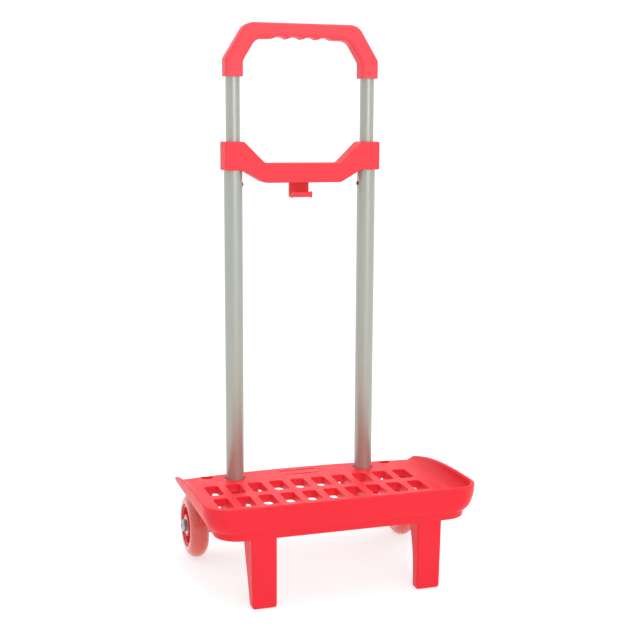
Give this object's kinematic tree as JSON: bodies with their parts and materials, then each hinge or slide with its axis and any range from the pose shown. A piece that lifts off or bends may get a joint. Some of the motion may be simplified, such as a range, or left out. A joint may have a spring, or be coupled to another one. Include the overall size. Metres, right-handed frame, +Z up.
{
  "type": "luggage trolley",
  "caption": "Two-wheeled luggage trolley with a coral plastic tray on front legs, metal uprights, a cross bracket with a bag hook and a sliding handle",
  "frame": {"origin": "on the floor, in the middle of the footprint", "axes": "+Z up along the uprights, +X to the right as seen from the front, front of the tray towards -Y"},
  "size_m": [0.326, 0.232, 0.6515],
  "materials": {
    "coral_plastic": "moulded polypropylene, fine satin",
    "satin_tube": "champagne satin tube",
    "black_plastic": "black nylon",
    "black_spring": "blackened spring steel",
    "red_core": "moulded nylon core",
    "clear_tyre": "translucent amber polyurethane",
    "zinc": "zinc plated",
    "bearing_steel": "ground steel with shields"
  },
  "bodies": {
    "trolley": {"tray_platform": "coral_plastic", "cross_bracket": "coral_plastic", "outer_tube_left": "satin_tube", "guide_bush_left": "black_plastic", "socket_screw_left": "zinc", "bracket_screw_left": "zinc", "axle_bolt_left": "zinc", "outer_washer_left": "zinc", "inner_washer_left": "zinc", "lock_nut_left": "zinc", "outer_tube_right": "satin_tube", "guide_bush_right": "black_plastic", "socket_screw_right": "zinc", "bracket_screw_right": "zinc", "axle_bolt_right": "zinc", "outer_washer_right": "zinc", "inner_washer_right": "zinc", "lock_nut_right": "zinc"},
    "handle": {"grip": "coral_plastic", "inner_tube_left": "satin_tube", "inner_tube_foot_left": "black_plastic", "grip_screw_left": "zinc", "inner_tube_right": "satin_tube", "inner_tube_foot_right": "black_plastic", "grip_screw_right": "zinc"},
    "left_button": {"snap_clip_left": "black_spring"},
    "left_wheel": {"tyre_left": "clear_tyre", "wheel_hub_left": "red_core", "outer_bearing_left": "bearing_steel", "inner_bearing_left": "bearing_steel", "bearing_spacer_left": "zinc"},
    "right_button": {"snap_clip_right": "black_spring"},
    "right_wheel": {"tyre_right": "clear_tyre", "wheel_hub_right": "red_core", "outer_bearing_right": "bearing_steel", "inner_bearing_right": "bearing_steel", "bearing_spacer_right": "zinc"}
  },
  "joints": [
    {"name": "handle_slide", "type": "slide", "parent": "trolley", "child": "handle", "axis": [0, 0, 1], "range_m": [-0.076, 0]},
    {"name": "left_button_press", "type": "slide", "parent": "handle", "child": "left_button", "axis": [1, 0, 0], "range_m": [-0.0035, 0], "stiffness_N_per_m": 1500, "deforming": ["snap_clip_left"]},
    {"name": "left_wheel_spin", "type": "hinge", "parent": "trolley", "child": "left_wheel", "pos_m": [-0.1372, 0.076, 0.04], "axis": [1, 0, 0], "continuous": true},
    {"name": "right_button_press", "type": "slide", "parent": "handle", "child": "right_button", "axis": [-1, 0, 0], "range_m": [-0.0035, 0], "stiffness_N_per_m": 1500, "deforming": ["snap_clip_right"]},
    {"name": "right_wheel_spin", "type": "hinge", "parent": "trolley", "child": "right_wheel", "pos_m": [0.1372, 0.076, 0.04], "axis": [1, 0, 0], "continuous": true}
  ]
}
